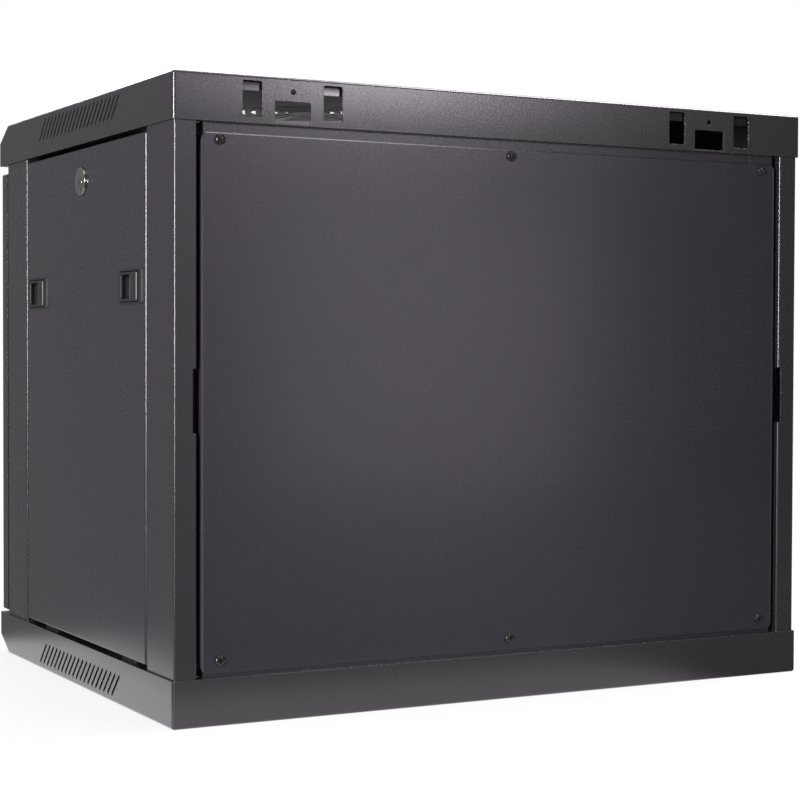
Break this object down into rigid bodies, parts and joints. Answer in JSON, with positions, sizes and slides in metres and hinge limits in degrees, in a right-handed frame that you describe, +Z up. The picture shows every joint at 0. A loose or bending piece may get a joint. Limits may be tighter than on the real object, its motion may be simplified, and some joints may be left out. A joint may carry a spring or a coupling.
{
  "type": "wall mount network cabinet",
  "caption": "Wall mount network cabinet: black sheet-metal box with glass front door, lockable tilt-out side panels, screwed rear panel, wall hook openings and 19-inch rack rails inside.",
  "frame": {"origin": "middle of the footprint, on the base's underside", "axes": "+Z up, -Y out of the front door, +Y towards the wall, +X to the right of someone facing the front door"},
  "size_m": [0.6, 0.45, 0.5],
  "materials": {
    "black_paint": "fine-textured charcoal black powder coat",
    "rail_paint": "smooth black powder coat",
    "glass": "tinted toughened glass",
    "rubber": "matte black rubber",
    "latch_plastic": "fine-grained black plastic",
    "bush_plastic": "smooth black nylon",
    "steel": "bright turned steel",
    "chrome": "chrome-plated zinc",
    "zinc": "zinc-plated steel",
    "black_screw": "glossy black oxide"
  },
  "bodies": {
    "cabinet": {"base_entry_cover": "black_paint", "base_tray": "black_paint", "entry_cover_screws": "black_screw", "front_bottom_rail": "black_paint", "front_post_left": "black_paint", "front_post_right": "black_paint", "front_rack_rail_left": "rail_paint", "front_rack_rail_right": "rail_paint", "front_top_rail": "black_paint", "hanger_angle": "black_paint", "hinge_bush_bottom": "bush_plastic", "hinge_bush_top": "bush_plastic", "keeper_tube_left": "black_paint", "keeper_tube_right": "black_paint", "lower_depth_tube_left": "black_paint", "lower_depth_tube_right": "black_paint", "rack_rail_bolts": "zinc", "rack_rail_nuts": "zinc", "rear_bottom_rail": "black_paint", "rear_panel": "black_paint", "rear_panel_screws": "black_screw", "rear_post_left": "black_paint", "rear_post_right": "black_paint", "rear_rack_rail_left": "rail_paint", "rear_rack_rail_right": "rail_paint", "rear_top_rail": "black_paint", "roof_cover": "black_paint", "upper_depth_tube_left": "black_paint", "upper_depth_tube_right": "black_paint"},
    "door": {"door_frame": "black_paint", "door_glass": "glass", "glass_seal": "rubber", "hinge_pin_top": "steel", "hinge_pin_bottom": "steel", "door_lock_housing": "chrome", "door_lock_nut": "zinc"},
    "door_lock_rotor": {"door_lock_plug": "chrome", "door_lock_cam": "zinc"},
    "side_panel_right": {"side_panel_right": "black_paint", "side_lock_right_housing": "chrome", "side_lock_right_nut": "zinc", "latch_frame_right_front": "latch_plastic", "latch_frame_right_rear": "latch_plastic"},
    "side_lock_rotor_right": {"side_lock_right_plug": "chrome", "side_lock_right_cam": "zinc"},
    "slider_right_front": {"latch_slider_right_front": "latch_plastic"},
    "slider_right_rear": {"latch_slider_right_rear": "latch_plastic"},
    "side_panel_left": {"side_panel_left": "black_paint", "side_lock_left_housing": "chrome", "side_lock_left_nut": "zinc", "latch_frame_left_front": "latch_plastic", "latch_frame_left_rear": "latch_plastic"},
    "side_lock_rotor_left": {"side_lock_left_plug": "chrome", "side_lock_left_cam": "zinc"},
    "slider_left_front": {"latch_slider_left_front": "latch_plastic"},
    "slider_left_rear": {"latch_slider_left_rear": "latch_plastic"}
  },
  "joints": [
    {"name": "door_swing", "type": "hinge", "parent": "cabinet", "child": "door", "pos_m": [-0.291, -0.216, 0.2475], "axis": [0, 0, -1], "range_deg": [0, 180]},
    {"name": "door_lock_turn", "type": "hinge", "parent": "door", "child": "door_lock_rotor", "pos_m": [0.276, -0.223, 0.25], "axis": [0, 1, 0], "range_deg": [0, 90]},
    {"name": "side_panel_tilt_right", "type": "hinge", "parent": "cabinet", "child": "side_panel_right", "pos_m": [0.298, 0.0095, 0.0402], "axis": [0, 1, 0], "range_deg": [0, 20]},
    {"name": "side_lock_turn_right", "type": "hinge", "parent": "side_panel_right", "child": "side_lock_rotor_right", "pos_m": [0.298, 0.0095, 0.4315], "axis": [-1, 0, 0], "range_deg": [0, 90]},
    {"name": "latch_slide_right_front", "type": "slide", "parent": "side_panel_right", "child": "slider_right_front", "axis": [0, 1, 0], "range_m": [0, 0.005]},
    {"name": "latch_slide_right_rear", "type": "slide", "parent": "side_panel_right", "child": "slider_right_rear", "axis": [0, 1, 0], "range_m": [0, 0.005]},
    {"name": "side_panel_tilt_left", "type": "hinge", "parent": "cabinet", "child": "side_panel_left", "pos_m": [-0.298, 0.0095, 0.0402], "axis": [0, -1, 0], "range_deg": [0, 20]},
    {"name": "side_lock_turn_left", "type": "hinge", "parent": "side_panel_left", "child": "side_lock_rotor_left", "pos_m": [-0.298, 0.0095, 0.4315], "axis": [1, 0, 0], "range_deg": [0, 90]},
    {"name": "latch_slide_left_front", "type": "slide", "parent": "side_panel_left", "child": "slider_left_front", "axis": [0, -1, 0], "range_m": [0, 0.005]},
    {"name": "latch_slide_left_rear", "type": "slide", "parent": "side_panel_left", "child": "slider_left_rear", "axis": [0, -1, 0], "range_m": [0, 0.005]}
  ]
}
